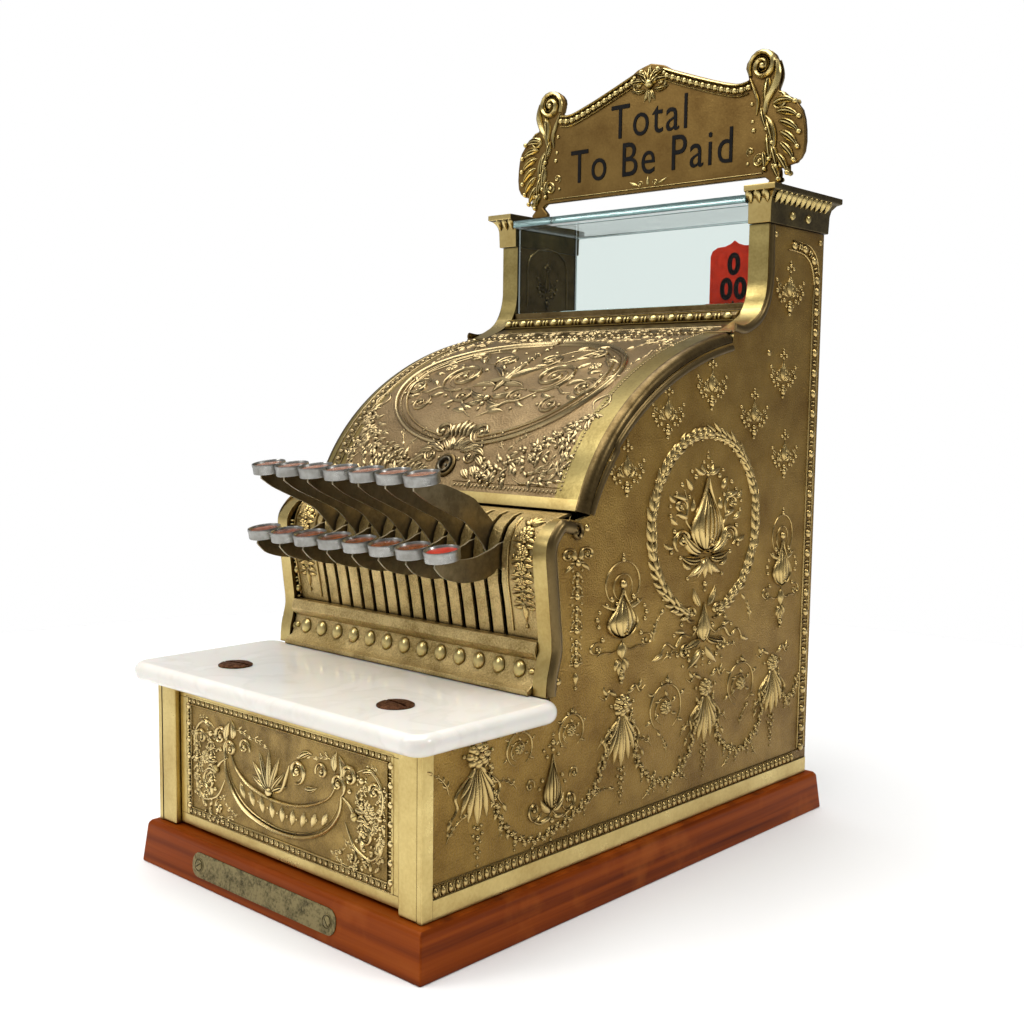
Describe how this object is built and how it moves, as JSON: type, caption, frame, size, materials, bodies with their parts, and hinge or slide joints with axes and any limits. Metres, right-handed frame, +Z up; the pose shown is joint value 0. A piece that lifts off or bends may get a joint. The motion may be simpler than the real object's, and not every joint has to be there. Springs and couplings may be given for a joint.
{
  "type": "cash register",
  "caption": "Antique brass cash register with hooked key levers in a slotted plate, price flags in a glazed window, marble shelf, curved lid, sliding drawer and top sign.",
  "frame": {"origin": "middle of the whole object's footprint, on the underside of the wooden base", "axes": "+Z up, the front with drawer and keys faces -Y, +X is the right-hand side as seen from the front"},
  "size_m": [0.266, 0.412, 0.5435],
  "materials": {
    "mahogany": "worn varnish, reddish brown",
    "till_wood": "oiled, plain",
    "badge_brass": "aged, blank",
    "marble": "polished, off-white",
    "aged_screw": "rusty brown slotted heads",
    "lid_brass": "coppery patina over cast relief",
    "sign_brass": "satin with relief",
    "bright_brass": "worn bright",
    "cast_brass": "dark golden patina, cast relief",
    "sheet_glass": "clear, green edges",
    "dark_steel": "dull, worn nickel",
    "bell_metal": "polished",
    "cream_enamel": "enamel with plain figures",
    "red_enamel": "enamel with plain figures"
  },
  "bodies": {
    "case": {"wood_base": "mahogany", "badge_plate": "badge_brass", "side_plate_left": "cast_brass", "side_plate_right": "cast_brass", "back_plate": "cast_brass", "front_column_left": "bright_brass", "front_column_right": "bright_brass", "marble_shelf": "marble", "shelf_screw_left": "aged_screw", "shelf_screw_right": "aged_screw", "base_moulding": "cast_brass", "key_plate": "cast_brass", "key_shaft": "dark_steel", "lid_hinge_rod": "bright_brass", "window_sill": "cast_brass", "capital_left": "bright_brass", "capital_right": "bright_brass", "top_glass": "sheet_glass", "front_glass": "sheet_glass", "rear_glass": "sheet_glass", "marquee_sign": "sign_brass", "inner_frame": "dark_steel", "flag_guide": "dark_steel", "bell": "bell_metal"},
    "drawer": {"drawer_front": "cast_brass", "drawer_box": "till_wood"},
    "lid_leaf": {"lid": "lid_brass"},
    "lock_barrel": {"lid_lock": "dark_steel"},
    "latch": {"drawer_latch": "dark_steel"},
    "hammer": {"bell_hammer": "dark_steel"},
    "key_01": {"key_lever_01": "dark_steel"},
    "key_02": {"key_lever_02": "dark_steel"},
    "key_03": {"key_lever_03": "dark_steel"},
    "key_04": {"key_lever_04": "dark_steel"},
    "key_05": {"key_lever_05": "dark_steel"},
    "key_06": {"key_lever_06": "dark_steel"},
    "key_07": {"key_lever_07": "dark_steel"},
    "key_08": {"key_lever_08": "dark_steel"},
    "key_09": {"key_lever_09": "dark_steel"},
    "key_10": {"key_lever_10": "dark_steel"},
    "key_11": {"key_lever_11": "dark_steel"},
    "key_12": {"key_lever_12": "dark_steel"},
    "key_13": {"key_lever_13": "dark_steel"},
    "key_14": {"key_lever_14": "dark_steel"},
    "key_15": {"key_lever_15": "dark_steel"},
    "price_01": {"flag_01": "cream_enamel"},
    "price_02": {"flag_02": "cream_enamel"},
    "price_03": {"flag_03": "cream_enamel"},
    "price_04": {"flag_04": "cream_enamel"},
    "price_05": {"flag_05": "cream_enamel"},
    "price_06": {"flag_06": "cream_enamel"},
    "price_07": {"flag_07": "cream_enamel"},
    "price_08": {"flag_08": "cream_enamel"},
    "price_09": {"flag_09": "cream_enamel"},
    "price_10": {"flag_10": "cream_enamel"},
    "price_11": {"flag_11": "cream_enamel"},
    "price_12": {"flag_12": "cream_enamel"},
    "price_13": {"flag_13": "cream_enamel"},
    "price_14": {"flag_14": "cream_enamel"},
    "price_15": {"flag_15": "red_enamel"}
  },
  "joints": [
    {"name": "drawer_slide", "type": "slide", "parent": "case", "child": "drawer", "axis": [0, -1, 0], "range_m": [0, 0.17]},
    {"name": "lid_hinge", "type": "hinge", "parent": "case", "child": "lid_leaf", "pos_m": [0, 0.0822, 0.34275], "axis": [-1, 0, 0], "range_deg": [0, 65]},
    {"name": "lock_turn", "type": "hinge", "parent": "lid_leaf", "child": "lock_barrel", "pos_m": [0, -0.0578, 0.25515], "axis": [0, -0.8739, 0.4861], "range_deg": [0, 90]},
    {"name": "latch_release", "type": "hinge", "parent": "case", "child": "latch", "pos_m": [0, 0.1, 0.101], "axis": [1, 0, 0], "range_deg": [0, 12], "stiffness_Nm_per_rad": 0.05, "springref_deg": -5.73},
    {"name": "bell_strike", "type": "hinge", "parent": "case", "child": "hammer", "pos_m": [0.05, 0.016, 0.2656], "axis": [0, 1, 0], "range_deg": [0, 25], "stiffness_Nm_per_rad": 0.02, "springref_deg": -5.73},
    {"name": "key_01_press", "type": "hinge", "parent": "case", "child": "key_01", "pos_m": [-0.0805, -0.05, 0.185], "axis": [1, 0, 0], "range_deg": [0, 13], "stiffness_Nm_per_rad": 0.3, "springref_deg": -11.46},
    {"name": "key_02_press", "type": "hinge", "parent": "case", "child": "key_02", "pos_m": [-0.069, -0.05, 0.185], "axis": [1, 0, 0], "range_deg": [0, 13], "stiffness_Nm_per_rad": 0.3, "springref_deg": -11.46},
    {"name": "key_03_press", "type": "hinge", "parent": "case", "child": "key_03", "pos_m": [-0.0575, -0.05, 0.185], "axis": [1, 0, 0], "range_deg": [0, 13], "stiffness_Nm_per_rad": 0.3, "springref_deg": -11.46},
    {"name": "key_04_press", "type": "hinge", "parent": "case", "child": "key_04", "pos_m": [-0.046, -0.05, 0.185], "axis": [1, 0, 0], "range_deg": [0, 13], "stiffness_Nm_per_rad": 0.3, "springref_deg": -11.46},
    {"name": "key_05_press", "type": "hinge", "parent": "case", "child": "key_05", "pos_m": [-0.0345, -0.05, 0.185], "axis": [1, 0, 0], "range_deg": [0, 13], "stiffness_Nm_per_rad": 0.3, "springref_deg": -11.46},
    {"name": "key_06_press", "type": "hinge", "parent": "case", "child": "key_06", "pos_m": [-0.023, -0.05, 0.185], "axis": [1, 0, 0], "range_deg": [0, 13], "stiffness_Nm_per_rad": 0.3, "springref_deg": -11.46},
    {"name": "key_07_press", "type": "hinge", "parent": "case", "child": "key_07", "pos_m": [-0.0115, -0.05, 0.185], "axis": [1, 0, 0], "range_deg": [0, 13], "stiffness_Nm_per_rad": 0.3, "springref_deg": -11.46},
    {"name": "key_08_press", "type": "hinge", "parent": "case", "child": "key_08", "pos_m": [0, -0.05, 0.185], "axis": [1, 0, 0], "range_deg": [0, 13], "stiffness_Nm_per_rad": 0.3, "springref_deg": -11.46},
    {"name": "key_09_press", "type": "hinge", "parent": "case", "child": "key_09", "pos_m": [0.0115, -0.05, 0.185], "axis": [1, 0, 0], "range_deg": [0, 13], "stiffness_Nm_per_rad": 0.3, "springref_deg": -11.46},
    {"name": "key_10_press", "type": "hinge", "parent": "case", "child": "key_10", "pos_m": [0.023, -0.05, 0.185], "axis": [1, 0, 0], "range_deg": [0, 13], "stiffness_Nm_per_rad": 0.3, "springref_deg": -11.46},
    {"name": "key_11_press", "type": "hinge", "parent": "case", "child": "key_11", "pos_m": [0.0345, -0.05, 0.185], "axis": [1, 0, 0], "range_deg": [0, 13], "stiffness_Nm_per_rad": 0.3, "springref_deg": -11.46},
    {"name": "key_12_press", "type": "hinge", "parent": "case", "child": "key_12", "pos_m": [0.046, -0.05, 0.185], "axis": [1, 0, 0], "range_deg": [0, 13], "stiffness_Nm_per_rad": 0.3, "springref_deg": -11.46},
    {"name": "key_13_press", "type": "hinge", "parent": "case", "child": "key_13", "pos_m": [0.0575, -0.05, 0.185], "axis": [1, 0, 0], "range_deg": [0, 13], "stiffness_Nm_per_rad": 0.3, "springref_deg": -11.46},
    {"name": "key_14_press", "type": "hinge", "parent": "case", "child": "key_14", "pos_m": [0.069, -0.05, 0.185], "axis": [1, 0, 0], "range_deg": [0, 13], "stiffness_Nm_per_rad": 0.3, "springref_deg": -11.46},
    {"name": "key_15_press", "type": "hinge", "parent": "case", "child": "key_15", "pos_m": [0.0805, -0.05, 0.185], "axis": [1, 0, 0], "range_deg": [0, 13], "stiffness_Nm_per_rad": 0.3, "springref_deg": -11.46},
    {"name": "flag_01_rise", "type": "slide", "parent": "case", "child": "price_01", "axis": [0, 0, 1], "range_m": [0, 0.0477]},
    {"name": "flag_02_rise", "type": "slide", "parent": "case", "child": "price_02", "axis": [0, 0, 1], "range_m": [0, 0.0467]},
    {"name": "flag_03_rise", "type": "slide", "parent": "case", "child": "price_03", "axis": [0, 0, 1], "range_m": [0, 0.0456]},
    {"name": "flag_04_rise", "type": "slide", "parent": "case", "child": "price_04", "axis": [0, 0, 1], "range_m": [0, 0.0487]},
    {"name": "flag_05_rise", "type": "slide", "parent": "case", "child": "price_05", "axis": [0, 0, 1], "range_m": [0, 0.0477]},
    {"name": "flag_06_rise", "type": "slide", "parent": "case", "child": "price_06", "axis": [0, 0, 1], "range_m": [0, 0.0467]},
    {"name": "flag_07_rise", "type": "slide", "parent": "case", "child": "price_07", "axis": [0, 0, 1], "range_m": [0, 0.0456]},
    {"name": "flag_08_rise", "type": "slide", "parent": "case", "child": "price_08", "axis": [0, 0, 1], "range_m": [0, 0.0487]},
    {"name": "flag_09_rise", "type": "slide", "parent": "case", "child": "price_09", "axis": [0, 0, 1], "range_m": [0, 0.0477]},
    {"name": "flag_10_rise", "type": "slide", "parent": "case", "child": "price_10", "axis": [0, 0, 1], "range_m": [0, 0.0467]},
    {"name": "flag_11_rise", "type": "slide", "parent": "case", "child": "price_11", "axis": [0, 0, 1], "range_m": [0, 0.0456]},
    {"name": "flag_12_rise", "type": "slide", "parent": "case", "child": "price_12", "axis": [0, 0, 1], "range_m": [0, 0.0487]},
    {"name": "flag_13_rise", "type": "slide", "parent": "case", "child": "price_13", "axis": [0, 0, 1], "range_m": [0, 0.0477]},
    {"name": "flag_14_rise", "type": "slide", "parent": "case", "child": "price_14", "axis": [0, 0, 1], "range_m": [0, 0.0467]},
    {"name": "flag_15_rise", "type": "slide", "parent": "case", "child": "price_15", "axis": [0, 0, 1], "range_m": [-0.046, 0]}
  ],
  "couplings": [
    {"joint": "flag_01_rise", "follows": "key_01_press", "m_per_rad": 0.20937},
    {"joint": "flag_02_rise", "follows": "key_02_press", "m_per_rad": 0.2048},
    {"joint": "flag_03_rise", "follows": "key_03_press", "m_per_rad": 0.20022},
    {"joint": "flag_04_rise", "follows": "key_04_press", "m_per_rad": 0.21395},
    {"joint": "flag_05_rise", "follows": "key_05_press", "m_per_rad": 0.20937},
    {"joint": "flag_06_rise", "follows": "key_06_press", "m_per_rad": 0.2048},
    {"joint": "flag_07_rise", "follows": "key_07_press", "m_per_rad": 0.20022},
    {"joint": "flag_08_rise", "follows": "key_08_press", "m_per_rad": 0.21395},
    {"joint": "flag_09_rise", "follows": "key_09_press", "m_per_rad": 0.20937},
    {"joint": "flag_10_rise", "follows": "key_10_press", "m_per_rad": 0.2048},
    {"joint": "flag_11_rise", "follows": "key_11_press", "m_per_rad": 0.20022},
    {"joint": "flag_12_rise", "follows": "key_12_press", "m_per_rad": 0.21395},
    {"joint": "flag_13_rise", "follows": "key_13_press", "m_per_rad": 0.20937},
    {"joint": "flag_14_rise", "follows": "key_14_press", "m_per_rad": 0.2048}
  ]
}
